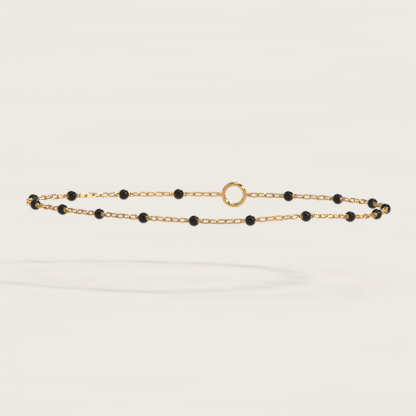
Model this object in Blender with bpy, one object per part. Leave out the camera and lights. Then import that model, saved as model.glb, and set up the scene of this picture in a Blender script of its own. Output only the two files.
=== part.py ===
"""Beaded anklet: seventeen small black beads on a fine gold cable chain, closed by a ring clasp.

The anklet keeps the closed loop that it has when it is worn. The loop lies about the XY plane,
its long way along X, and the origin is the middle of the open hollow. Every bead is a ball with
a gold eye soldered to each end, and every run of chain between two beads is five oval links.
Units are metres, +Z is up.
"""

import math

import bmesh
import bpy
import numpy as np
from mathutils import Matrix, Vector

MM = 0.001

# The loop is cut into equal places. A bead sits at each of them but one, which holds the clasp.
PLACES = 18
BEAD_PITCH = 12.7 * MM
LOOP_LENGTH = PLACES * BEAD_PITCH
CLASP_PLACE = 13
FIRST_PLACE = 114.2 * MM

# The outline of the loop, as how far it departs from a round of the same length.
# The number of lobes round the outline, and the depth of each lobe in millimetres.
OUTLINE = (
    # lobes, depth_mm
    (2, 4.8),
    (3, -2.3),
    (5, 0.3),
    (6, -0.2),
)
OUTLINE_TURN = math.radians(-19.5)
OUTLINE_SHIFT = (1.1 * MM, 2.3 * MM)

# The loop lies level, but rides up a little on its -Y side, towards +X.
LEVEL = -0.3 * MM
LIFT = 1.2 * MM
LIFT_PLACE = 6
LIFT_REACH = 22.0 * MM

# Beads
BALL_DIAMETER = 2.4 * MM
BALL_SEGMENTS = 10
BALL_RINGS = 6

# Wire of the links and eyes, as the corner radius of its five sided section
WIRE_RADIUS = 0.19 * MM
WIRE_SIDES = 5
WIRE_FLAT = WIRE_RADIUS * math.cos(math.pi / WIRE_SIDES)

# Eyes, soldered into the balls and the clasp
EYE_RADIUS = 0.475 * MM
EYE_SEGMENTS = 10
EYE_CENTRE = 1.62 * MM
EYE_ROLL = math.radians(-45)

# Links
LINK_RADIUS = 0.52 * MM
LINK_SEGMENTS = 10
LINKS_IN_RUN = 5
LINKS_BY_CLASP = 4
LINK_SOLDER = 0.05 * MM
HINGE_GAP = 0.15 * MM

# Clasp, a plain round ring standing upright
CLASP_RADIUS = 2.45 * MM
CLASP_WIRE = 0.5 * MM
CLASP_SEGMENTS = 16
CLASP_SIDES = 5
CLASP_ROLL = math.radians(90)

# How far the first link's inner end stands from a bead's centre, and the links' own size
RUN_START = EYE_CENTRE + EYE_RADIUS - WIRE_FLAT - HINGE_GAP
LINK_INNER = (BEAD_PITCH - 2 * RUN_START - (LINKS_IN_RUN - 1) * LINK_SOLDER) / LINKS_IN_RUN
LINK_PITCH = LINK_INNER + LINK_SOLDER
LINK_STRETCH = LINK_INNER / 2 - LINK_RADIUS + WIRE_FLAT

# The clasp's eyes reach into the last links beside it.
SHORT_RUN = LINKS_BY_CLASP * LINK_INNER + (LINKS_BY_CLASP - 1) * LINK_SOLDER
CLASP_EYE_CENTRE = BEAD_PITCH - RUN_START - SHORT_RUN + HINGE_GAP + WIRE_FLAT - EYE_RADIUS

# Steps in which the loop's length is measured, and the span over which its slope is taken
PATH_STEPS = 3600
SLOPE_SPAN = 0.5 * MM

# Edges sharper than this are shaded as edges.
CREASE = math.radians(50)

# Finishes: colour, metallic, roughness
GOLD = ("gold", (0.80, 0.54, 0.22, 1.0), 1.0, 0.20)
BLACK = ("black_enamel", (0.005, 0.004, 0.004, 1.0), 0.0, 0.08)


def clear_scene():
    """Remove every object of the startup scene."""
    for obj in list(bpy.data.objects):
        bpy.data.objects.remove(obj, do_unlink=True)


def make_collection(name):
    """Return a new collection in the scene."""
    collection = bpy.data.collections.new(name)
    bpy.context.scene.collection.children.link(collection)
    return collection


def make_material(name, colour, metallic, roughness):
    """Return a Principled material."""
    material = bpy.data.materials.new(name)
    material.use_nodes = True
    shader = material.node_tree.nodes["Principled BSDF"]
    shader.inputs["Base Color"].default_value = colour
    shader.inputs["Metallic"].default_value = metallic
    shader.inputs["Roughness"].default_value = roughness
    material.diffuse_color = colour
    return material


class Loop:
    """The closed path of the chain, measured by its own length."""

    def __init__(self):
        angle = np.linspace(0.0, 2.0 * np.pi, PATH_STEPS + 1)
        reach = np.full_like(angle, LOOP_LENGTH / (2.0 * np.pi))
        slope = np.zeros_like(angle)
        for lobes, depth_mm in OUTLINE:
            phase = lobes * (angle - OUTLINE_TURN)
            reach += depth_mm * MM * np.cos(phase)
            slope -= lobes * depth_mm * MM * np.sin(phase)
        self.x = reach * np.cos(angle) - slope * np.sin(angle) + OUTLINE_SHIFT[0]
        self.y = reach * np.sin(angle) + slope * np.cos(angle) + OUTLINE_SHIFT[1]
        steps = np.hypot(np.diff(self.x), np.diff(self.y))
        self.run = np.concatenate(([0.0], np.cumsum(steps)))

    def height(self, distance):
        """Return the height of the chain at a distance along the loop."""
        half = LOOP_LENGTH / 2
        away = (distance - place(LIFT_PLACE) + half) % LOOP_LENGTH - half
        if abs(away) >= LIFT_REACH:
            return LEVEL
        return LEVEL + LIFT * 0.5 * (1.0 + math.cos(math.pi * away / LIFT_REACH))

    def point(self, distance):
        """Return the point of the loop at a distance along it."""
        along = distance % self.run[-1]
        x = np.interp(along, self.run, self.x)
        y = np.interp(along, self.run, self.y)
        return Vector((float(x), float(y), self.height(distance)))

    def frame(self, distance, roll):
        """Return the placement at a distance: X along the chain, Y inwards, rolled about X."""
        ahead = self.point(distance + SLOPE_SPAN)
        behind = self.point(distance - SLOPE_SPAN)
        along = (ahead - behind).normalized()
        inward = Vector((0.0, 0.0, 1.0)).cross(along).normalized()
        upward = along.cross(inward)
        axes = Matrix((along, inward, upward)).transposed().to_4x4()
        return Matrix.Translation(self.point(distance)) @ axes @ Matrix.Rotation(roll, 4, "X")


def place(number):
    """Return how far along the loop a numbered place is."""
    return FIRST_PLACE + number * BEAD_PITCH


def take_mesh(obj, name):
    """Return the object's mesh under a name, and remove the object."""
    mesh = obj.data
    mesh.name = name
    bpy.data.objects.remove(obj, do_unlink=True)
    return mesh


def ring_mesh(name, radius, wire, segments, sides):
    """Return a round ring of wire lying in the XY plane."""
    bpy.ops.mesh.primitive_torus_add(
        major_segments=segments, minor_segments=sides, major_radius=radius, minor_radius=wire
    )
    return take_mesh(bpy.context.object, name)


def link_mesh():
    """Return one oval link: a ring whose two halves are drawn apart along X."""
    mesh = ring_mesh("link", LINK_RADIUS, WIRE_RADIUS, LINK_SEGMENTS, WIRE_SIDES)
    for vertex in mesh.vertices:
        vertex.co.x += math.copysign(LINK_STRETCH, vertex.co.x)
    return mesh


def ball_mesh():
    """Return a ball with a small flat at each end of X, where the eyes are soldered."""
    bpy.ops.mesh.primitive_uv_sphere_add(
        segments=BALL_SEGMENTS, ring_count=BALL_RINGS, radius=BALL_DIAMETER / 2
    )
    mesh = take_mesh(bpy.context.object, "ball")
    shape = bmesh.new()
    shape.from_mesh(mesh)
    poles = [vertex for vertex in shape.verts if len(vertex.link_edges) == BALL_SEGMENTS]
    bmesh.ops.dissolve_verts(shape, verts=poles)
    shape.to_mesh(mesh)
    shape.free()
    mesh.transform(Matrix.Rotation(math.radians(90), 4, "Y"))
    return mesh


def gather(name, mesh, placements):
    """Return a mesh holding one copy of a mesh at each placement."""
    shape = bmesh.new()
    for placement in placements:
        start = len(shape.verts)
        shape.from_mesh(mesh)
        shape.verts.ensure_lookup_table()
        bmesh.ops.transform(shape, matrix=placement, verts=shape.verts[start:])
    gathered = bpy.data.meshes.new(name)
    shape.to_mesh(gathered)
    shape.free()
    return gathered


def soldered(name, body, addition, cutters):
    """Return the one mesh that two overlapping meshes make when they are soldered together."""
    base = bpy.data.objects.new(name, body)
    other = bpy.data.objects.new(name + "_solder", addition)
    cutters.objects.link(base)
    cutters.objects.link(other)
    union = base.modifiers.new("solder", "BOOLEAN")
    union.operation = "UNION"
    union.solver = "EXACT"
    union.object = other
    bpy.context.view_layer.update()
    graph = bpy.context.evaluated_depsgraph_get()
    mesh = bpy.data.meshes.new_from_object(base.evaluated_get(graph))
    mesh.name = name
    mesh.shade_smooth()
    mesh.set_sharp_from_angle(angle=CREASE)
    bpy.data.objects.remove(base, do_unlink=True)
    bpy.data.objects.remove(other, do_unlink=True)
    return mesh


def add_piece(name, mesh, placement, material, collection):
    """Add one sub-part, placed in the loop."""
    piece = bpy.data.objects.new(name, mesh)
    piece.matrix_world = placement
    if not mesh.materials:
        mesh.materials.append(material)
    collection.objects.link(piece)
    return piece


def bead_mesh(eye, cutters):
    """Return a ball with an eye soldered to each end, both eyes in its XY plane."""
    ends = [Matrix.Translation((side * EYE_CENTRE, 0.0, 0.0)) for side in (-1, 1)]
    return soldered("bead", ball_mesh(), gather("eyes", eye, ends), cutters)


def clasp_mesh(eye, cutters):
    """Return the ring clasp, with an eye at each side turned to take the last links."""
    ring = ring_mesh("ring", CLASP_RADIUS, CLASP_WIRE, CLASP_SEGMENTS, CLASP_SIDES)
    turn = Matrix.Rotation(-EYE_ROLL - CLASP_ROLL, 4, "X")
    ends = [Matrix.Translation((side * CLASP_EYE_CENTRE, 0.0, 0.0)) @ turn for side in (-1, 1)]
    return soldered("clasp", ring, gather("eyes", eye, ends), cutters)


def run_mesh(name, loop, link, start, count, first_roll, middle, cutters):
    """Return a run of links soldered end to end, about the placement at its middle.

    The links stand at right angles to each other in turn, so those of one turn never meet and
    the two turns are gathered apart before they are joined.
    """
    home = middle.inverted()
    turns = ([], [])
    for index in range(count):
        roll = first_roll if index % 2 == 0 else -first_roll
        distance = start + LINK_INNER / 2 + index * LINK_PITCH
        turns[index % 2].append(home @ loop.frame(distance, roll))
    odd = gather(name + "_odd", link, turns[0])
    even = gather(name + "_even", link, turns[1])
    return soldered(name, odd, even, cutters)


def build():
    """Model the anklet."""
    clear_scene()
    parts = make_collection("beaded_anklet")
    cutters = make_collection("cutters")
    gold = make_material(*GOLD)
    black = make_material(*BLACK)
    loop = Loop()
    link = link_mesh()
    eye = ring_mesh("eye", EYE_RADIUS, WIRE_RADIUS, EYE_SEGMENTS, WIRE_SIDES)

    bead = bead_mesh(eye, cutters)
    bead_number = 0
    for number in range(PLACES):
        if number == CLASP_PLACE:
            continue
        bead_number += 1
        add_piece(f"bead_{bead_number:02d}", bead, loop.frame(place(number), EYE_ROLL), black, parts)

    clasp = clasp_mesh(eye, cutters)
    add_piece("clasp", clasp, loop.frame(place(CLASP_PLACE), CLASP_ROLL), gold, parts)

    for number in range(PLACES):
        start = place(number) + RUN_START
        count = LINKS_IN_RUN
        first_roll = -EYE_ROLL
        if number == CLASP_PLACE - 1:
            count = LINKS_BY_CLASP
        if number == CLASP_PLACE:
            count = LINKS_BY_CLASP
            start = place(number + 1) - RUN_START - SHORT_RUN
            first_roll = EYE_ROLL
        name = f"chain_{number + 1:02d}"
        length = count * LINK_INNER + (count - 1) * LINK_SOLDER
        middle = loop.frame(start + length / 2, 0.0)
        mesh = run_mesh(name, loop, link, start, count, first_roll, middle, cutters)
        add_piece(name, mesh, middle, gold, parts)


build()
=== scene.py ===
"""Beaded anklet, dressed: a fine gold cable chain with black enamelled balls and a ring clasp.

The anklet keeps the loop that it has when it is worn. Every piece here stands for one of the part's
solids and lies where that solid lies. Lengths are metres and +Z is up.
"""

import contextlib
import logging
import math
import random
from abc import ABC, abstractmethod
from collections.abc import Callable, Iterator, Sequence
from dataclasses import dataclass, field
from enum import Enum

import bmesh
import bpy
import numpy as np
from mathutils import Matrix, Vector


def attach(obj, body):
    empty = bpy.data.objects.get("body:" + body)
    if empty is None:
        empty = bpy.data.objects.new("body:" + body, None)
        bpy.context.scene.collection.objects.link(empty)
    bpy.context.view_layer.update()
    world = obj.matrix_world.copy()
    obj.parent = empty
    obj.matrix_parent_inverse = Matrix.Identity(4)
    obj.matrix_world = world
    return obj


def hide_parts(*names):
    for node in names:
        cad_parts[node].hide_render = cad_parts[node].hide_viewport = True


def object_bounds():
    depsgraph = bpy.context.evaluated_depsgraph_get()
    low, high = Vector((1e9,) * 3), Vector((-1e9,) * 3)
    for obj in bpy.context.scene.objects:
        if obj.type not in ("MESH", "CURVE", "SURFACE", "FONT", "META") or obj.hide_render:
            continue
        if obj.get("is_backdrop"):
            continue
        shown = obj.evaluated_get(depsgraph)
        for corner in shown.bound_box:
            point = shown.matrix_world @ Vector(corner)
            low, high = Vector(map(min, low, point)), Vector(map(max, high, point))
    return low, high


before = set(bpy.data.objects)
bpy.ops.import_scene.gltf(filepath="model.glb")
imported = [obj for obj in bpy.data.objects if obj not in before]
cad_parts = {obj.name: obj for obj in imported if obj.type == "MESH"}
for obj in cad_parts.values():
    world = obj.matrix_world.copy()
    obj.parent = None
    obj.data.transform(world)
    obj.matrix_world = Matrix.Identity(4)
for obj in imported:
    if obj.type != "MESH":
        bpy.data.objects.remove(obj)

MM = 0.001
MICRON = 0.000001

# Points that a cut or a weld leaves nearer together than this become one.
MERGE = MICRON / 10

# Points of a ring nearer than this to X = 0 are in its middle.
SEAM_BAND = 0.05 * MM

# The share of its own place that a corner keeps in a subdivision.
CORNER_KEPT = 0.75

# The share of a normal or of a distance that counts as the whole of it.
NEARLY = 0.99

# The value that a noise pattern has on average.
NOISE_MIDDLE = 0.5

# A colour Mix node's sockets, by number because its other kinds of value have the same names.
MIX_SHARE, MIX_FIRST, MIX_SECOND, MIX_RESULT = 0, 6, 7, 2

log = logging.getLogger("beaded_anklet")

Colour = tuple[float, float, float]
Material = bpy.types.Material
Piece = bpy.types.Object
Socket = bpy.types.NodeSocket
Where = Callable[[Vector, Vector], bool]
Strength = Callable[[np.ndarray], np.ndarray]


class Slot(Enum):
    """The record's material slots."""

    GOLD = "gold"
    BLACK_ENAMEL = "black_enamel"


class Grip(Enum):
    """What is taken hold of in edit mode."""

    POINT = "VERT"
    FACE = "FACE"


class Lean(Enum):
    """How the plane of a link or an eye is rolled about the chain, in degrees."""

    OUTWARD = -45.0
    INWARD = 45.0

    @property
    def angle(self) -> float:
        """The roll in radians."""
        return math.radians(self.value)

    @property
    def other(self) -> "Lean":
        """The lean of the next link."""
        return Lean(-self.value)


class Mark(Enum):
    """What is stored at the points of a mesh, for its finish to read."""

    NOOK = "nook"
    SEAM = "seam"
    RIM = "rim"


def pick_up(*pieces: Piece) -> None:
    """Select these pieces alone, the first of them active.

    Args:
        pieces: the pieces to work on.
    """
    bpy.ops.object.select_all(action="DESELECT")
    for piece in pieces:
        piece.select_set(True)
    bpy.context.view_layer.objects.active = pieces[0]


@contextlib.contextmanager
def opened(piece: Piece, grip: Grip) -> Iterator[None]:
    """Open a piece in edit mode with nothing selected, and close it afterwards.

    Args:
        piece: the piece to open.
        grip: whether points or faces are selected.

    Returns:
        The context in which the piece is open.
    """
    pick_up(piece)
    bpy.ops.object.mode_set(mode="EDIT")
    bpy.ops.mesh.select_mode(type=grip.value)
    bpy.ops.mesh.select_all(action="DESELECT")
    yield
    bpy.ops.object.mode_set(mode="OBJECT")


def choose(piece: Piece, grip: Grip, where: Where) -> None:
    """Select what passes a test on its middle and its normal, in a piece that is open.

    Args:
        piece: the open piece.
        grip: whether points or faces are tested.
        where: the test of a middle and a normal.
    """
    bpy.ops.mesh.select_all(action="DESELECT")
    shape = bmesh.from_edit_mesh(piece.data)
    if grip is Grip.POINT:
        for point in shape.verts:
            point.select_set(where(point.co, point.normal))
    else:
        for face in shape.faces:
            face.select_set(where(face.calc_center_median(), face.normal))
    shape.select_flush_mode()
    bmesh.update_edit_mesh(piece.data)


def refine(piece: Piece, kind: str, **settings: object) -> None:
    """Give a piece a modifier and apply it.

    Args:
        piece: the piece to refine.
        kind: the modifier's type.
        settings: the modifier's own settings.
    """
    pick_up(piece)
    modifier = piece.modifiers.new(kind.lower(), kind)
    for name, value in settings.items():
        setattr(modifier, name, value)
    bpy.ops.object.modifier_apply(modifier=modifier.name)


def bevel(piece: Piece, width: float, angle: float) -> None:
    """Round the edges of a piece that are sharper than an angle in radians."""
    refine(piece, "BEVEL", width=width, segments=2, limit_method="ANGLE", angle_limit=angle)


def smooth(piece: Piece, crease: float = 40.0) -> None:
    """Shade a piece smooth, apart from edges sharper than the crease angle in degrees."""
    pick_up(piece)
    bpy.ops.object.shade_smooth_by_angle(angle=math.radians(crease))


def weld(piece: Piece, other: Piece) -> None:
    """Make one closed body of two that overlap.

    Args:
        piece: the piece that keeps its name.
        other: the piece that is joined to it and goes.
    """
    refine(piece, "BOOLEAN", operation="UNION", solver="EXACT", object=other)
    bpy.data.objects.remove(other)
    with opened(piece, Grip.POINT):
        bpy.ops.mesh.select_all(action="SELECT")
        bpy.ops.mesh.remove_doubles(threshold=MERGE)


def settle(name: str) -> Piece:
    """Name the active piece and put its place in its mesh.

    Args:
        name: the piece's name.

    Returns:
        The piece.
    """
    bpy.ops.object.transform_apply(location=True, rotation=True, scale=True)
    piece = bpy.context.view_layer.objects.active
    piece.name = name
    piece.data.name = name
    return piece


def wire_ring(name: str, radius: float, wire: float, segments: int, sides: int) -> Piece:
    """Add a coarse ring of wire round Z, which has its size once it is subdivided.

    Args:
        name: the ring's name.
        radius: the radius of the wire's middle line.
        wire: the wire's own radius.
        segments: how many segments the ring has.
        sides: how many sides the wire has.

    Returns:
        The ring.
    """
    kept = CORNER_KEPT + (1.0 - CORNER_KEPT) * math.cos(2 * math.pi / sides)
    bpy.ops.mesh.primitive_torus_add(
        major_segments=segments, minor_segments=sides, major_radius=radius, minor_radius=wire / kept
    )
    return settle(name)


def close_seam(ring: Piece, radius: float, swell: float) -> None:
    """Swell a ring's wire to a drop of solder at +Y, where it is closed, and subdivide the ring.

    Args:
        ring: the ring.
        radius: how far its wire's middle line lies from X there.
        swell: how much thicker the drop is than the wire.
    """
    with opened(ring, Grip.POINT):
        choose(ring, Grip.POINT, lambda spot, _: abs(spot.x) < SEAM_BAND and spot.y > 0.0)
        bpy.ops.transform.resize(value=(1.0, swell, swell), center_override=(0.0, radius, 0.0))
    refine(ring, "SUBSURF", levels=1, render_levels=1)
    smooth(ring)


def mark(piece: Piece, name: Mark, strength: Strength) -> None:
    """Store at each point of a piece how strongly an effect shows there.

    Args:
        piece: the piece to mark.
        name: the effect.
        strength: works out the values, from 0 to 1, of an array of points.
    """
    mesh = piece.data
    points = np.empty(len(mesh.vertices) * 3)
    mesh.vertices.foreach_get("co", points)
    values = strength(points.reshape(-1, 3)).astype(np.float32)
    mesh.attributes.new(name.value, "FLOAT", "POINT").data.foreach_set("value", values)


def near(points: np.ndarray, reach: float, *spots: Sequence[float]) -> np.ndarray:
    """Return for each point 1 on one of the spots, a third at a distance of reach, and 0 far off."""
    away = [np.linalg.norm(points - np.array(spot), axis=1) for spot in spots]
    return np.exp(-((np.min(away, axis=0) / reach) ** 2))


def lay_out(name: str, model: Piece, places: Sequence[Matrix]) -> Piece:
    """Make one piece of copies of a model.

    Args:
        name: the name of the new piece.
        model: what is copied.
        places: the placement of each copy.

    Returns:
        The piece, with its place in its mesh.
    """
    copies = []
    for place in places:
        copy = model.copy()
        copy.data = model.data.copy()
        bpy.context.scene.collection.objects.link(copy)
        copy.matrix_world = place
        copies.append(copy)
    pick_up(*copies)
    if len(copies) > 1:
        bpy.ops.object.join()
    return settle(name)


@dataclass
class WornLoop:
    """The closed path of the chain when it is worn, measured by its own length.

    Seen from above, it is a circle with a few waves laid over it, each given as how many lobes go
    round and how deep they are. The places of the beads follow each other at equal steps, and one of
    them holds the clasp.
    """

    places: int = 18
    clasp_place: int = 13
    bead_pitch: float = 12.7 * MM
    first_place: float = 114.2 * MM
    lobes: tuple[tuple[int, float], ...] = ((2, 4.8 * MM), (3, -2.3 * MM), (5, 0.3 * MM), (6, -0.2 * MM))
    turn: float = math.radians(-19.5)
    shift: tuple[float, float] = (1.1 * MM, 2.3 * MM)
    level: float = -0.3 * MM
    lift: float = 1.2 * MM
    lift_place: int = 6
    lift_reach: float = 22.0 * MM
    steps: int = 3600
    slope_span: float = 0.5 * MM
    across: np.ndarray = field(init=False, repr=False)
    deep: np.ndarray = field(init=False, repr=False)
    run: np.ndarray = field(init=False, repr=False)

    def __post_init__(self) -> None:
        """Measure the path."""
        angle = np.linspace(0.0, 2.0 * np.pi, self.steps + 1)
        reach = np.full_like(angle, self.length / (2.0 * np.pi))
        slope = np.zeros_like(angle)
        for count, depth in self.lobes:
            phase = count * (angle - self.turn)
            reach += depth * np.cos(phase)
            slope -= count * depth * np.sin(phase)
        self.across = reach * np.cos(angle) - slope * np.sin(angle) + self.shift[0]
        self.deep = reach * np.sin(angle) + slope * np.cos(angle) + self.shift[1]
        stretches = np.hypot(np.diff(self.across), np.diff(self.deep))
        self.run = np.concatenate(([0.0], np.cumsum(stretches)))

    @property
    def length(self) -> float:
        """The length of the loop."""
        return self.places * self.bead_pitch

    @property
    def bead_places(self) -> list[int]:
        """The places that hold a bead."""
        return [place for place in range(self.places) if place != self.clasp_place]

    def place(self, number: int) -> float:
        """Return how far along the loop a numbered place is."""
        return self.first_place + number * self.bead_pitch

    def height(self, distance: float) -> float:
        """Tell how high the chain rides.

        Args:
            distance: how far along the loop.

        Returns:
            The height, which is greater near the place where the chain is lifted.
        """
        half = self.length / 2
        away = (distance - self.place(self.lift_place) + half) % self.length - half
        if abs(away) >= self.lift_reach:
            return self.level
        return self.level + self.lift * 0.5 * (1.0 + math.cos(math.pi * away / self.lift_reach))

    def point(self, distance: float) -> Vector:
        """Find a point of the loop.

        Args:
            distance: how far along the loop.

        Returns:
            The point.
        """
        along = distance % self.run[-1]
        across = float(np.interp(along, self.run, self.across))
        deep = float(np.interp(along, self.run, self.deep))
        return Vector((across, deep, self.height(distance)))

    def frame(self, distance: float, roll: float = 0.0) -> Matrix:
        """Find how a piece is placed on the loop.

        Args:
            distance: how far along the loop.
            roll: the turn about the chain, in radians.

        Returns:
            The placement: X along the chain, Y inwards and Z up before the roll.
        """
        ahead = self.point(distance + self.slope_span)
        behind = self.point(distance - self.slope_span)
        along = (ahead - behind).normalized()
        inward = Vector((0.0, 0.0, 1.0)).cross(along).normalized()
        axes = Matrix((along, inward, along.cross(inward))).transposed().to_4x4()
        return Matrix.Translation(self.point(distance)) @ axes @ Matrix.Rotation(roll, 4, "X")


@dataclass(frozen=True)
class Gauge:
    """Sizes that the balls, the eyes and the links share, so that they reach into each other."""

    wire: float = 0.165 * MM
    solid_corner: float = 0.19 * MM
    solid_sides: int = 5
    ball: float = 1.2 * MM
    seat: float = 1.06 * MM
    eye: float = 0.475 * MM
    eye_centre: float = 1.62 * MM
    eye_lean: Lean = Lean.OUTWARD
    hinge_gap: float = 0.15 * MM
    solder: float = 0.05 * MM
    links: int = 5
    links_by_clasp: int = 4

    @property
    def solid_wire(self) -> float:
        """How far the flats of the solids' faceted wire stand from its middle line."""
        return self.solid_corner * math.cos(math.pi / self.solid_sides)

    @property
    def run_start(self) -> float:
        """How far the first link's hole starts from the middle of a ball."""
        return self.eye_centre + self.eye - self.solid_wire - self.hinge_gap

    def hole(self, loop: WornLoop) -> float:
        """Return the length of a link's hole, from a run that fills the space between two beads."""
        return (loop.bead_pitch - 2 * self.run_start - (self.links - 1) * self.solder) / self.links

    def pitch(self, loop: WornLoop) -> float:
        """Return the step from link to link."""
        return self.hole(loop) + self.solder

    def run_length(self, loop: WornLoop, links: int) -> float:
        """Return the length of a run of links, from the first hole's start to the last one's end."""
        return links * self.hole(loop) + (links - 1) * self.solder

    def clasp_eye_centre(self, loop: WornLoop) -> float:
        """Return how far the clasp's eyes stand from its middle, to reach into the last links."""
        free = loop.bead_pitch - self.run_start - self.run_length(loop, self.links_by_clasp)
        return free + self.hinge_gap + self.solid_wire - self.eye


class Wiring:
    """The nodes of one shader tree, as they are wired up."""

    def __init__(self, tree: bpy.types.NodeTree) -> None:
        """Take the tree to wire."""
        self.tree = tree

    def add(self, kind: str, inputs: dict | None = None, **settings: object) -> bpy.types.Node:
        """Add a node.

        Args:
            kind: the node's type after ShaderNode.
            inputs: for each input, by name or number, a value or the socket that feeds it.
            settings: the node's own settings.

        Returns:
            The node.
        """
        node = self.tree.nodes.new("ShaderNode" + kind)
        for name, value in settings.items():
            setattr(node, name, value)
        self.feed(node, inputs or {})
        return node

    def feed(self, node: bpy.types.Node, inputs: dict) -> None:
        """Set or link a node's inputs.

        Args:
            node: the node.
            inputs: the same as for add.
        """
        for name, value in inputs.items():
            if isinstance(value, Socket):
                self.tree.links.new(value, node.inputs[name])
            else:
                node.inputs[name].default_value = value

    def math(self, operation: str, *values: Socket | float) -> Socket:
        """Add a Math node and return its result."""
        return self.add("Math", dict(enumerate(values)), operation=operation).outputs[0]

    def fade(self, value: Socket, start: float, end: float) -> Socket:
        """Turn a value smoothly into a mask, 0 at the start and 1 at the end, which may be the lower."""
        limits = {"Value": value, "From Min": start, "From Max": end}
        return self.add("MapRange", limits, interpolation_type="SMOOTHSTEP").outputs[0]

    def blend(self, share: Socket, first: Socket | Colour, second: Socket | Colour,
              kind: str = "MIX") -> Socket:
        """Mix two colours.

        Args:
            share: how much of the second shows.
            first: a colour or a socket.
            second: a colour or a socket.
            kind: how the second is laid over the first.

        Returns:
            The mixed colour's socket.
        """
        colours = [part if isinstance(part, Socket) else (*part, 1.0) for part in (first, second)]
        inputs = {MIX_SHARE: share, MIX_FIRST: colours[0], MIX_SECOND: colours[1]}
        return self.add("Mix", inputs, data_type="RGBA", blend_type=kind).outputs[MIX_RESULT]

    def noise(self, place: Socket, scale: Socket | float, detail: float = 2.0,
              twist: float = 0.0) -> Socket:
        """Add a noise pattern with so many blots a metre, so many finer layers, and so much distortion."""
        inputs = {"Vector": place, "Scale": scale, "Detail": detail, "Distortion": twist}
        return self.add("TexNoise", inputs).outputs[0]

    def ragged(self, value: Socket, noise: Socket, depth: float) -> Socket:
        """Add noise to a value, as much up as down, and return the sum."""
        offset = self.math("MULTIPLY_ADD", noise, depth, -depth * NOISE_MIDDLE)
        return self.math("ADD", value, offset)

    def stack(self, base: Socket | float, *layers: tuple[Socket, float]) -> Socket:
        """Add masks to a value.

        Args:
            base: the value.
            layers: each mask with its weight.

        Returns:
            The sum's socket.
        """
        for mask, weight in layers:
            base = self.math("MULTIPLY_ADD", mask, weight, base)
        return base

    def paint(self, base: Colour, *coats: tuple[Socket, float, Colour]) -> Socket:
        """Lay coats over a colour.

        Args:
            base: the colour.
            coats: each coat's mask, how much of the coat shows where its mask is full, and its colour.

        Returns:
            The painted colour's socket.
        """
        for mask, share, colour in coats:
            base = self.blend(self.math("MULTIPLY", mask, share), base, colour)
        return base

    def mark(self, name: Mark) -> Socket:
        """Read a mark that is stored at the points of the mesh."""
        return self.add("Attribute", attribute_name=name.value).outputs["Fac"]

    def effect(self, effect: "Effect", place: Socket, scale: float) -> Socket:
        """Place a shared effect, with so many marks a metre, and return its mask."""
        inputs = {"Place": place, "Scale": scale}
        return self.add("Group", inputs, node_tree=effect.group()).outputs["Mask"]


def new_material(name: str) -> tuple[Material, Wiring, Socket]:
    """Make a material.

    Args:
        name: its name.

    Returns:
        The material, the wiring of its tree, and the coordinates of the piece that wears it.
    """
    material = bpy.data.materials.new(name)
    material.use_nodes = True
    wiring = Wiring(material.node_tree)
    return material, wiring, wiring.add("TexCoord").outputs["Object"]


class Effect(ABC):
    """A surface effect that several finishes share: a node group that puts out a mask."""

    name: str

    def group(self) -> bpy.types.NodeTree:
        """Build the effect's node group when it is first asked for.

        Returns:
            The node group.
        """
        found = bpy.data.node_groups.get(self.name)
        if found:
            return found
        tree = bpy.data.node_groups.new(self.name, "ShaderNodeTree")
        tree.interface.new_socket("Place", in_out="INPUT", socket_type="NodeSocketVector")
        tree.interface.new_socket("Scale", in_out="INPUT", socket_type="NodeSocketFloat")
        tree.interface.new_socket("Mask", in_out="OUTPUT", socket_type="NodeSocketFloat")
        entry = tree.nodes.new("NodeGroupInput")
        mask = self.wire(Wiring(tree), entry.outputs["Place"], entry.outputs["Scale"])
        tree.links.new(mask, tree.nodes.new("NodeGroupOutput").inputs["Mask"])
        return tree

    @abstractmethod
    def wire(self, wiring: Wiring, place: Socket, scale: Socket) -> Socket:
        """Wire the effect.

        Args:
            wiring: the group's tree.
            place: the coordinates.
            scale: how many marks a metre.

        Returns:
            The socket of the mask.
        """


@dataclass(frozen=True)
class HandlingHaze(Effect):
    """The cloudy film that handling leaves on a polished surface."""

    name: str = "handling_haze"
    twist: float = 0.6
    finer: float = 4.7
    broad_share: float = 0.65
    clear: float = 0.38
    cloudy: float = 0.66

    def wire(self, wiring: Wiring, place: Socket, scale: Socket) -> Socket:
        """Wire broad clouds broken by finer ones.

        Args:
            wiring: the group's tree.
            place: the coordinates.
            scale: how many broad clouds a metre.

        Returns:
            The socket of the mask.
        """
        broad = wiring.noise(place, scale, detail=3.0, twist=self.twist)
        fine = wiring.noise(place, wiring.math("MULTIPLY", scale, self.finer))
        clouds = wiring.stack(0.0, (broad, self.broad_share), (fine, 1.0 - self.broad_share))
        return wiring.fade(clouds, self.clear, self.cloudy)


@dataclass(frozen=True)
class Hairlines(Effect):
    """Fine scratches, in two crossing directions and in patches."""

    name: str = "hairlines"
    turns: tuple[tuple[float, float, float], ...] = ((0.3, 0.2, 0.5), (1.1, 0.7, 2.2))
    squeeze: tuple[float, float, float] = (0.4, 14.0, 14.0)
    breadth: float = 0.014
    clear: float = 0.45
    scratched: float = 0.62

    def wire(self, wiring: Wiring, place: Socket, scale: Socket) -> Socket:
        """Wire thin lines where a drawn out noise passes through its middle.

        Args:
            wiring: the group's tree.
            place: the coordinates.
            scale: how many patches a metre.

        Returns:
            The socket of the mask.
        """
        lines = []
        for turn in self.turns:
            drawn = wiring.add("Mapping", {"Vector": place, "Rotation": turn, "Scale": self.squeeze})
            wave = wiring.noise(drawn.outputs[0], scale, detail=0.0)
            off = wiring.math("ABSOLUTE", wiring.math("SUBTRACT", wave, NOISE_MIDDLE))
            lines.append(wiring.fade(off, self.breadth, 0.0))
        patches = wiring.fade(wiring.noise(place, scale), self.clear, self.scratched)
        return wiring.math("MULTIPLY", wiring.math("MAXIMUM", *lines), patches)


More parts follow.
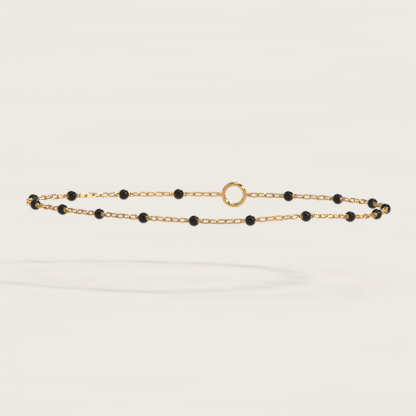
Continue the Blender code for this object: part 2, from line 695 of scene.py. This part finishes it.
@dataclass(frozen=True)
class SettledGrime(Effect):
    """What settles where two pieces meet, as the nook mark says, with a ragged edge."""

    name: str = "settled_grime"
    raggedness: float = 0.9
    clean: float = 0.3
    dirty: float = 0.9

    def wire(self, wiring: Wiring, place: Socket, scale: Socket) -> Socket:
        """Wire the nook mark, broken by noise.

        Args:
            wiring: the group's tree.
            place: the coordinates.
            scale: how many ragged tongues a metre.

        Returns:
            The socket of the mask.
        """
        noise = wiring.noise(place, scale, detail=4.0)
        settled = wiring.ragged(wiring.mark(Mark.NOOK), noise, self.raggedness)
        return wiring.fade(settled, self.clean, self.dirty)


@dataclass(frozen=True)
class Pits(Effect):
    """Pinpricks left by casting, or by grit in the glaze."""

    name: str = "pits"
    floor: float = 0.06
    brink: float = 0.16
    empty: float = 0.7

    def wire(self, wiring: Wiring, place: Socket, scale: Socket) -> Socket:
        """Wire a dot in each of a few cells of a Voronoi pattern.

        Args:
            wiring: the group's tree.
            place: the coordinates.
            scale: how many cells a metre.

        Returns:
            The socket of the mask.
        """
        cells = wiring.add("TexVoronoi", {"Vector": place, "Scale": scale})
        dots = wiring.fade(cells.outputs["Distance"], self.brink, self.floor)
        chance = wiring.add("SeparateColor", {0: cells.outputs["Color"]}).outputs[0]
        return wiring.math("MULTIPLY", dots, wiring.math("GREATER_THAN", chance, self.empty))


HAZE = HandlingHaze()
HAIRLINES = Hairlines()
GRIME = SettledGrime()
PITS = Pits()


@dataclass(frozen=True)
class GoldFinish:
    """Polished gold plate over drawn wire, paler at its solder and dull where links rub.

    A tint is how much of a coat's colour shows, and what dulls adds to the roughness. A size is that
    of one mark, and a fineness is how many marks fit in one cloud of haze.
    """

    name: str
    base: Colour = (0.80, 0.52, 0.19)
    deep: Colour = (0.58, 0.32, 0.09)
    solder: Colour = (0.86, 0.64, 0.34)
    grime: Colour = (0.16, 0.08, 0.03)
    haze_tint: float = 0.55
    solder_tint: float = 0.7
    grime_tint: float = 0.75
    roughness: float = 0.17
    haze_dulls: float = 0.10
    scratches_dull: float = 0.2
    solder_dulls: float = 0.12
    grime_dulls: float = 0.30
    haze_size: float = 1.6 * MM
    grime_fineness: float = 8.0
    pit_fineness: float = 6.0
    scratch_size: float = 0.9 * MM
    scratches: float = 0.6
    drawn_marks: float = 0.0
    drawn_squeeze: tuple[float, float, float] = (3.0, 40.0, 1.0)
    relief: float = 2.5 * MICRON

    def make(self) -> Material:
        """Build the material.

        Returns:
            The material.
        """
        material, wiring, place = new_material(self.name)
        haze = wiring.effect(HAZE, place, 1 / self.haze_size)
        lines = wiring.effect(HAIRLINES, place, 1 / self.scratch_size)
        grime = wiring.effect(GRIME, place, self.grime_fineness / self.haze_size)
        pits = wiring.effect(PITS, place, self.pit_fineness / self.haze_size)
        seam = wiring.mark(Mark.SEAM)

        colour = wiring.paint(
            self.base, (haze, self.haze_tint, self.deep),
            (seam, self.solder_tint, self.solder), (grime, self.grime_tint, self.grime),
        )
        rough = wiring.stack(
            self.roughness, (haze, self.haze_dulls), (lines, self.scratches_dull * self.scratches),
            (seam, self.solder_dulls), (grime, self.grime_dulls),
        )

        # What the drawplate leaves along the wire, on the wire's own UV map.
        along = wiring.add("UVMap", uv_map="UVMap").outputs[0]
        drawn = wiring.add("Mapping", {"Vector": along, "Scale": self.drawn_squeeze}).outputs[0]
        marks = wiring.noise(drawn, 1.0, detail=3.0)
        height = wiring.stack(0.0, (pits, -1.0), (lines, -self.scratches), (marks, self.drawn_marks))
        bump = wiring.add("Bump", {"Distance": self.relief, "Height": height})
        wiring.feed(material.node_tree.nodes["Principled BSDF"], {
            "Base Color": colour,
            "Metallic": 1.0,
            "Roughness": rough,
            "Normal": bump.outputs[0],
        })
        return material


@dataclass(frozen=True)
class EnamelFinish:
    """Thick black enamel, glossy, a little wavy, and worn through to the gold at its rims.

    Its tints, sizes and finenesses are meant as the gold's are.
    """

    name: str
    base: Colour = (0.004, 0.003, 0.0035)
    film: Colour = (0.020, 0.014, 0.012)
    bared: Colour = (0.80, 0.52, 0.20)
    haze_tint: float = 0.35
    grime_tint: float = 0.5
    roughness: float = 0.06
    haze_dulls: float = 0.10
    scratches_dull: float = 0.10
    grime_dulls: float = 0.30
    wear_dulls: float = 0.20
    ior: float = 1.5
    gloss: float = 0.30
    haze_size: float = 1.2 * MM
    grime_fineness: float = 6.0
    pit_fineness: float = 4.0
    chip_fineness: float = 3.0
    chip_depth: float = 0.5
    glazed: float = 0.46
    worn_through: float = 0.54
    scratch_size: float = 0.8 * MM
    wave_size: float = 0.45 * MM
    relief: float = 4.0 * MICRON
    scratches: float = 0.12
    pits: float = 0.4

    def make(self) -> Material:
        """Build the material.

        Returns:
            The material.
        """
        material, wiring, place = new_material(self.name)
        haze = wiring.effect(HAZE, place, 1 / self.haze_size)
        lines = wiring.effect(HAIRLINES, place, 1 / self.scratch_size)
        grime = wiring.effect(GRIME, place, self.grime_fineness / self.haze_size)
        pits = wiring.effect(PITS, place, self.pit_fineness / self.haze_size)
        chips = wiring.noise(place, self.chip_fineness / self.haze_size, detail=3.0)
        rim = wiring.ragged(wiring.mark(Mark.RIM), chips, self.chip_depth)
        worn = wiring.fade(rim, self.glazed, self.worn_through)

        colour = wiring.paint(
            self.base, (haze, self.haze_tint, self.film),
            (grime, self.grime_tint, self.film), (worn, 1.0, self.bared),
        )
        rough = wiring.stack(
            self.roughness, (haze, self.haze_dulls), (lines, self.scratches_dull),
            (grime, self.grime_dulls), (worn, self.wear_dulls),
        )
        waves = wiring.noise(place, 1 / self.wave_size, detail=1.0)
        height = wiring.stack(waves, (lines, -self.scratches), (pits, -self.pits), (worn, -1.0))
        bump = wiring.add("Bump", {"Distance": self.relief, "Height": height})
        wiring.feed(material.node_tree.nodes["Principled BSDF"], {
            "Base Color": colour,
            "Metallic": worn,
            "Roughness": rough,
            "IOR": self.ior,
            "Specular IOR Level": self.gloss,
            "Normal": bump.outputs[0],
        })
        return material


def carry(piece: Piece, material: Material, node: str) -> None:
    """Dress a finished piece and put it in its solid's place.

    Args:
        piece: the piece.
        material: its finish.
        node: the solid that the piece stands for.
    """
    piece.data.materials.clear()
    piece.data.materials.append(material)
    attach(piece, "root")
    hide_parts(node)
    log.info("%s stands for %s: %d faces", piece.name, node, len(piece.data.polygons))


@dataclass
class Eye:
    """A round eye of wire, half sunk in the dome of solder that holds it to a ball or a ring."""

    gauge: Gauge
    wire_segments: int = 36
    wire_sides: int = 14
    dome: float = 0.40 * MM
    dome_foot: float = 0.11 * MM
    dome_flare: float = 1.0
    dome_lip: float = 0.05 * MM
    dome_rise: float = 0.10 * MM
    dome_steps: tuple[float, ...] = (0.18, 0.28, 0.30)
    dome_inset: float = 0.6
    dome_segments: int = 28
    edge: float = 0.02 * MM
    edge_angle: float = math.radians(50.0)
    flow_rounds: int = 5
    crease: float = 50.0
    bight_grime: float = 0.20 * MM
    foot_grime: float = 0.36 * MM
    solder_reach: float = 0.26 * MM

    @property
    def seat(self) -> float:
        """Where on X the eye's seat lies, from the eye's own middle."""
        return self.gauge.seat - self.gauge.eye_centre

    def model(self) -> Piece:
        """Model the eye about its own middle, with its solder towards -X.

        Returns:
            The model to be copied.
        """
        bpy.ops.mesh.primitive_torus_add(
            major_segments=self.wire_segments, minor_segments=self.wire_sides,
            major_radius=self.gauge.eye, minor_radius=self.gauge.wire,
        )
        eye = settle("eye_model")
        weld(eye, self.solder())
        joint = Vector((self.seat + self.dome_rise, 0.0, 0.0))
        with opened(eye, Grip.POINT):
            choose(eye, Grip.POINT, lambda spot, _: spot.x > self.seat
                   and (spot - joint).length < self.dome)
            bpy.ops.mesh.vertices_smooth(factor=0.5, repeat=self.flow_rounds)
        smooth(eye, self.crease)
        bight = (self.gauge.eye - self.gauge.wire, 0.0, 0.0)
        foot = (self.seat, 0.0, 0.0)
        mark(eye, Mark.NOOK, lambda points: np.maximum(
            near(points, self.bight_grime, bight), near(points, self.foot_grime, foot)))
        mark(eye, Mark.SEAM, lambda points: near(points, self.solder_reach, joint))
        return eye

    def solder(self) -> Piece:
        """Model the dome of solder on its seat.

        Returns:
            The dome, its foot reaching into what carries the eye.
        """
        bpy.ops.mesh.primitive_cylinder_add(
            vertices=self.dome_segments, radius=self.dome, depth=self.dome_foot + self.dome_lip,
            location=(self.seat + (self.dome_lip - self.dome_foot) / 2, 0.0, 0.0),
            rotation=(0.0, math.pi / 2, 0.0),
        )
        dome = settle("dome_model")
        with opened(dome, Grip.FACE):
            choose(dome, Grip.FACE, lambda _, normal: normal.x < -NEARLY)
            bpy.ops.transform.resize(
                value=(1.0, self.dome_flare, self.dome_flare), center_override=(0.0, 0.0, 0.0)
            )
            choose(dome, Grip.FACE, lambda _, normal: normal.x > NEARLY)
            for share in self.dome_steps:
                bpy.ops.mesh.inset(thickness=self.dome * share * self.dome_inset)
                bpy.ops.transform.translate(value=(self.dome_rise * share, 0.0, 0.0))
        bevel(dome, self.edge, self.edge_angle)
        return dome


@dataclass
class Bead:
    """A black ball with a gold eye at each end."""

    gauge: Gauge
    loop: WornLoop
    segments: int = 56
    rings: int = 36
    seat_depth: float = 0.03 * MM
    seat_lip: float = 0.035 * MM
    seat_glaze: float = 0.055 * MM
    edge: float = 0.015 * MM
    edge_angle: float = math.radians(22.0)
    crease: float = 60.0
    gilt_edge: float = 0.08 * MM
    gilt_fade: float = 0.08 * MM
    seat_grime: float = 0.14 * MM

    def model(self) -> Piece:
        """Model the ball, with a sunk flat seat for the solder at each end of X.

        Returns:
            The model to be copied.
        """
        seat = self.gauge.seat
        brim = math.sqrt(self.gauge.ball ** 2 - seat ** 2)
        lip = brim - self.seat_lip
        flat = lip - self.seat_glaze
        bpy.ops.mesh.primitive_uv_sphere_add(
            segments=self.segments, ring_count=self.rings, radius=self.gauge.ball,
            rotation=(0.0, math.pi / 2, 0.0),
        )
        ball = settle("ball_model")
        with opened(ball, Grip.POINT):
            for side in (-1.0, 1.0):
                bpy.ops.mesh.select_all(action="SELECT")
                bpy.ops.mesh.bisect(
                    plane_co=(side * seat, 0.0, 0.0), plane_no=(side, 0.0, 0.0),
                    clear_outer=True, threshold=MERGE,
                )
                choose(ball, Grip.POINT, lambda spot, _: side * spot.x > seat * NEARLY)
                for share, depth in ((lip / brim, self.seat_depth), (flat / lip, 0.0)):
                    bpy.ops.mesh.extrude_edges_move()
                    bpy.ops.transform.resize(value=(1.0, share, share), center_override=(0.0, 0.0, 0.0))
                    bpy.ops.transform.translate(value=(-side * depth, 0.0, 0.0))
                bpy.ops.mesh.extrude_edges_move()
                bpy.ops.mesh.merge(type="CENTER")
        bevel(ball, self.edge, self.edge_angle)
        smooth(ball, self.crease)
        gilt = brim - self.gilt_edge
        mark(ball, Mark.RIM, lambda points: np.clip(
            0.5 + (gilt - np.hypot(points[:, 1], points[:, 2])) / self.gilt_fade, 0.0, 1.0))
        mark(ball, Mark.NOOK, lambda points: np.exp(
            -(((seat - np.abs(points[:, 0])) / self.seat_grime) ** 2)))
        return ball

    def build(self, number: int, place: int, ball: Piece, eye: Piece,
              enamel: Material, gold: Material) -> None:
        """Put one bead in its place.

        Args:
            number: the bead's number.
            place: its place on the loop.
            ball: the model of the ball.
            eye: the model of an eye.
            enamel: the ball's finish.
            gold: the eyes' finish.
        """
        node = f"bead_{number:02d}"
        home = self.loop.frame(self.loop.place(place), self.gauge.eye_lean.angle)
        out = Matrix.Translation((self.gauge.eye_centre, 0.0, 0.0))
        ends = [home @ out, home @ Matrix.Rotation(math.pi, 4, "Z") @ out]
        carry(lay_out(f"{node}_ball", ball, [home]), enamel, node)
        carry(lay_out(f"{node}_eyes", eye, ends), gold, node)


@dataclass
class CableChain:
    """The runs of oval links between the beads, each link at right angles to the last."""

    gauge: Gauge
    loop: WornLoop
    bend: float = 0.52 * MM
    play: float = 0.01 * MM
    segments: int = 20
    sides: int = 8
    seam_swell: float = 1.10
    bight_grime: float = 0.22 * MM
    solder_reach: float = 0.20 * MM
    roll_play: float = math.radians(5.0)
    tilt_play: float = math.radians(1.5)
    seed: int = 7

    def model(self) -> Piece:
        """Model a link: a ring of wire drawn out along X, closed by a drop of solder.

        Returns:
            The model to be copied.
        """
        half = (self.gauge.pitch(self.loop) + self.play) / 2 + self.gauge.wire
        link = wire_ring("link_model", self.bend, self.gauge.wire, self.segments, self.sides)
        with opened(link, Grip.POINT):
            for side in (-1.0, 1.0):
                choose(link, Grip.POINT, lambda spot, _: side * spot.x > SEAM_BAND)
                bpy.ops.transform.translate(value=(side * (half - self.bend), 0.0, 0.0))
        close_seam(link, self.bend, self.seam_swell)
        bight = half - self.gauge.wire
        mark(link, Mark.NOOK, lambda points: near(
            points, self.bight_grime, (bight, 0.0, 0.0), (-bight, 0.0, 0.0)))
        mark(link, Mark.SEAM, lambda points: near(points, self.solder_reach, (0.0, self.bend, 0.0)))
        return link

    def build(self, place: int, link: Piece, gold: Material) -> None:
        """Lay the run of links that follows a place.

        Args:
            place: the place on the loop that the run starts from.
            link: the model of a link.
            gold: the finish.
        """
        lean = self.gauge.eye_lean.other
        links = self.gauge.links
        start = self.loop.place(place) + self.gauge.run_start
        if place in (self.loop.clasp_place - 1, self.loop.clasp_place):
            links = self.gauge.links_by_clasp
        if place == self.loop.clasp_place:
            lean = self.gauge.eye_lean
            end = self.loop.place(place + 1) - self.gauge.run_start
            start = end - self.gauge.run_length(self.loop, links)
        dice = random.Random(self.seed + place)
        placements = []
        for index in range(links):
            middle = start + self.gauge.hole(self.loop) / 2 + index * self.gauge.pitch(self.loop)
            roll = lean.angle + dice.uniform(-self.roll_play, self.roll_play)
            tilt = Matrix.Rotation(dice.uniform(-self.tilt_play, self.tilt_play), 4, "Z")
            flip = Matrix.Rotation(dice.choice((0.0, math.pi)), 4, "X")
            placements.append(self.loop.frame(middle, roll) @ tilt @ flip)
            lean = lean.other
        node = f"chain_{place + 1:02d}"
        carry(lay_out(f"{node}_links", link, placements), gold, node)


@dataclass
class RingClasp:
    """The plain ring that closes the anklet on its hidden side, with an eye at each end."""

    gauge: Gauge
    loop: WornLoop
    radius: float = 2.45 * MM
    wire: float = 0.46 * MM
    segments: int = 32
    sides: int = 10
    seam_swell: float = 1.05
    solder_reach: float = 0.45 * MM
    eye_grime: float = 0.34 * MM
    grime_share: float = 0.6
    roll: float = math.radians(90.0)

    def model(self) -> Piece:
        """Model the ring, closed by a drop of solder.

        Returns:
            The model to be copied.
        """
        ring = wire_ring("ring_model", self.radius, self.wire, self.segments, self.sides)
        close_seam(ring, self.radius, self.seam_swell)
        side = self.radius + self.wire
        mark(ring, Mark.SEAM, lambda points: near(points, self.solder_reach, (0.0, self.radius, 0.0)))
        mark(ring, Mark.NOOK, lambda points: self.grime_share * near(
            points, self.eye_grime, (side, 0.0, 0.0), (-side, 0.0, 0.0)))
        return ring

    def build(self, ring: Piece, eye: Piece, gold: Material) -> None:
        """Put the ring in its place with its eyes.

        Args:
            ring: the model of the ring.
            eye: the model of an eye.
            gold: the finish.
        """
        home = self.loop.frame(self.loop.place(self.loop.clasp_place), self.roll)
        turn = Matrix.Rotation(-self.gauge.eye_lean.angle - self.roll, 4, "X")
        out = Matrix.Translation((self.gauge.clasp_eye_centre(self.loop), 0.0, 0.0))
        ends = [home @ (out @ turn), home @ Matrix.Rotation(math.pi, 4, "Z") @ out @ turn.inverted()]
        carry(lay_out("clasp_ring", ring, [home]), gold, "clasp")
        carry(lay_out("clasp_eyes", eye, ends), gold, "clasp")


def heading(azimuth: float, elevation: float) -> Vector:
    """Return the direction of an azimuth and an elevation in degrees, from the camera's side."""
    turn, rise = math.radians(azimuth), math.radians(elevation)
    return Vector((math.sin(turn) * math.cos(rise), -math.cos(turn) * math.cos(rise), math.sin(rise)))


@dataclass(frozen=True)
class Lamp:
    """A soft lamp so far away that it lights the whole floor alike. Its angles are in degrees."""

    name: str
    azimuth: float
    elevation: float
    breadth: float
    strength: float
    colour: Colour

    def build(self, middle: Vector) -> None:
        """Hang the lamp.

        Args:
            middle: what it looks at.
        """
        light = bpy.data.lights.new(self.name, "SUN")
        light.angle = math.radians(self.breadth)
        light.energy = self.strength
        light.color = self.colour
        lamp = bpy.data.objects.new(self.name, light)
        towards = heading(self.azimuth, self.elevation)
        lamp.location = middle + towards
        lamp.rotation_euler = towards.to_track_quat("Z", "Y").to_euler()
        bpy.context.scene.collection.objects.link(lamp)


@dataclass(frozen=True)
class Glow:
    """A softbox as a bright patch of the surroundings, which fades out from its core to its edge.

    The angles are in degrees, those of the core and the edge from the middle of the patch.
    """

    azimuth: float
    elevation: float
    core: float
    edge: float
    strength: float
    colour: Colour

    def wire(self, wiring: Wiring, towards: Socket, surroundings: Socket) -> Socket:
        """Add the patch to the surroundings.

        Args:
            wiring: the world's tree.
            towards: the direction that is looked in.
            surroundings: the colour without this patch.

        Returns:
            The colour with this patch.
        """
        rays = {0: towards, 1: heading(self.azimuth, self.elevation)}
        nearness = wiring.add("VectorMath", rays, operation="DOT_PRODUCT").outputs["Value"]
        edge, core = (math.cos(math.radians(angle)) for angle in (self.edge, self.core))
        share = wiring.fade(nearness, edge, core)
        light = tuple(self.strength * part for part in self.colour)
        return wiring.blend(share, surroundings, light, kind="ADD")


@dataclass
class Studio:
    """A pale floor that fades into a pale backdrop, soft lamps, and the camera."""

    drop: float = 14 * MM
    floor_size: float = 60.0
    matt: float = 0.9
    pale: Colour = (0.85, 0.86, 0.86)
    mottle: float = 0.985
    mottle_scale: float = 18.0
    mottle_reach: tuple[float, float] = (0.3, 0.7)
    horizon: Colour = (0.84, 0.81, 0.765)
    zenith: Colour = (0.055, 0.050, 0.045)
    dusk: tuple[float, float] = (0.10, 0.42)
    floor_fade: tuple[float, float] = (0.6, 4.0)
    elevation: float = 5.5
    roll: float = 0.5
    lens: float = 640.0
    filled: float = 0.88
    clip: tuple[float, float] = (0.01, 100.0)
    lamps: tuple[Lamp, ...] = (
        Lamp("key_lamp", azimuth=58.0, elevation=36.0, breadth=11.0, strength=2.15,
             colour=(1.0, 0.95, 0.88)),
        Lamp("rim_lamp", azimuth=165.0, elevation=32.0, breadth=10.0, strength=0.6,
             colour=(1.0, 0.97, 0.92)),
    )
    glows: tuple[Glow, ...] = (
        Glow(azimuth=10.0, elevation=74.0, core=6.0, edge=24.0, strength=3.0, colour=(1.0, 0.97, 0.94)),
        Glow(azimuth=-64.0, elevation=40.0, core=4.0, edge=28.0, strength=1.4, colour=(1.0, 0.93, 0.86)),
        Glow(azimuth=58.0, elevation=36.0, core=4.0, edge=18.0, strength=0.9, colour=(1.0, 0.95, 0.88)),
    )

    def build(self) -> None:
        """Set up the studio round the anklet."""
        low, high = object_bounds()
        middle = (low + high) / 2
        bpy.context.scene.view_settings.view_transform = "Standard"
        self.lay_floor(low.z - self.drop)
        self.hang_backdrop()
        for lamp in self.lamps:
            lamp.build(middle)
        self.place_camera(middle, high.x - low.x)
        log.info("studio: floor %.0f mm below the anklet, %d lamps, %d softboxes",
                 self.drop / MM, len(self.lamps), len(self.glows))

    def lay_floor(self, level: float) -> None:
        """Lay the floor.

        Args:
            level: its height.
        """
        bpy.ops.mesh.primitive_plane_add(size=self.floor_size, location=(0.0, 0.0, level))
        floor = settle("floor")
        material, wiring, place = new_material("pale_floor")
        away = wiring.add("VectorMath", {0: place}, operation="LENGTH").outputs["Value"]
        mottle = wiring.fade(wiring.noise(place, self.mottle_scale, detail=3.0), *self.mottle_reach)
        colour = wiring.blend(mottle, self.pale, tuple(self.mottle * part for part in self.pale))
        matt = material.node_tree.nodes["Principled BSDF"]
        wiring.feed(matt, {"Base Color": colour, "Roughness": self.matt, "Specular IOR Level": 0.0})
        glow = wiring.add("Emission", {"Color": (*self.horizon, 1.0)})
        share = wiring.fade(away, *self.floor_fade)
        mix = wiring.add("MixShader", {0: share, 1: matt.outputs[0], 2: glow.outputs[0]})
        wiring.feed(material.node_tree.nodes["Material Output"], {"Surface": mix.outputs[0]})
        floor.data.materials.append(material)
        floor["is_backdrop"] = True

    def hang_backdrop(self) -> None:
        """Make the surroundings: pale at eye level and darker overhead."""
        world = bpy.data.worlds.new("backdrop")
        world.use_nodes = True
        bpy.context.scene.world = world
        wiring = Wiring(world.node_tree)
        towards = wiring.add("TexCoord").outputs["Generated"]
        rise = wiring.add("SeparateXYZ", {0: towards}).outputs["Z"]
        colour = wiring.blend(wiring.fade(rise, *self.dusk), self.horizon, self.zenith)
        for glow in self.glows:
            colour = glow.wire(wiring, towards, colour)
        wiring.feed(world.node_tree.nodes["Background"], {"Color": colour})

    def place_camera(self, middle: Vector, width: float) -> None:
        """Place the camera at the photo's viewing angle.

        Args:
            middle: what it looks at.
            width: the width that has to fit.
        """
        camera = bpy.data.objects.new("camera", bpy.data.cameras.new("camera"))
        bpy.context.scene.collection.objects.link(camera)
        bpy.context.scene.camera = camera
        camera.data.lens = self.lens
        camera.data.clip_start, camera.data.clip_end = self.clip
        back = heading(0.0, self.elevation)
        camera.location = middle + back * (width / self.filled * self.lens / camera.data.sensor_width)
        aim = back.to_track_quat("Z", "Y").to_matrix() @ Matrix.Rotation(math.radians(self.roll), 3, "Z")
        camera.rotation_euler = aim.to_euler()


@dataclass
class Anklet:
    """The whole anklet, built in the order of its sub-assemblies."""

    loop: WornLoop = field(default_factory=WornLoop)
    gauge: Gauge = field(default_factory=Gauge)

    def build(self) -> None:
        """Build and dress every piece."""
        eye_gold = GoldFinish("eye_gold", roughness=0.14).make()
        chain_gold = GoldFinish("chain_gold", drawn_marks=0.8).make()
        clasp_gold = GoldFinish("clasp_gold", roughness=0.12, haze_size=2.4 * MM, scratches=0.3).make()
        black = EnamelFinish("black_enamel").make()

        eye = Eye(self.gauge).model()
        bead = Bead(self.gauge, self.loop)
        ball = bead.model()
        for number, place in enumerate(self.loop.bead_places, start=1):
            bead.build(number, place, ball, eye, black, eye_gold)

        chain = CableChain(self.gauge, self.loop)
        link = chain.model()
        for place in range(self.loop.places):
            chain.build(place, link, chain_gold)

        ring_eye = Eye(self.gauge, dome=0.33 * MM, dome_foot=0.28 * MM, dome_flare=1.3).model()
        clasp = RingClasp(self.gauge, self.loop)
        ring = clasp.model()
        clasp.build(ring, ring_eye, clasp_gold)
        for model in (eye, ball, link, ring_eye, ring):
            bpy.data.objects.remove(model)


def main() -> None:
    """Build the anklet and its studio."""
    logging.basicConfig(level=logging.INFO, format="%(message)s")
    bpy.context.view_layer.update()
    log.info("the frame has %d solids", len(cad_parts))
    Anklet().build()
    Studio().build()


if __name__ == "__main__":
    main()
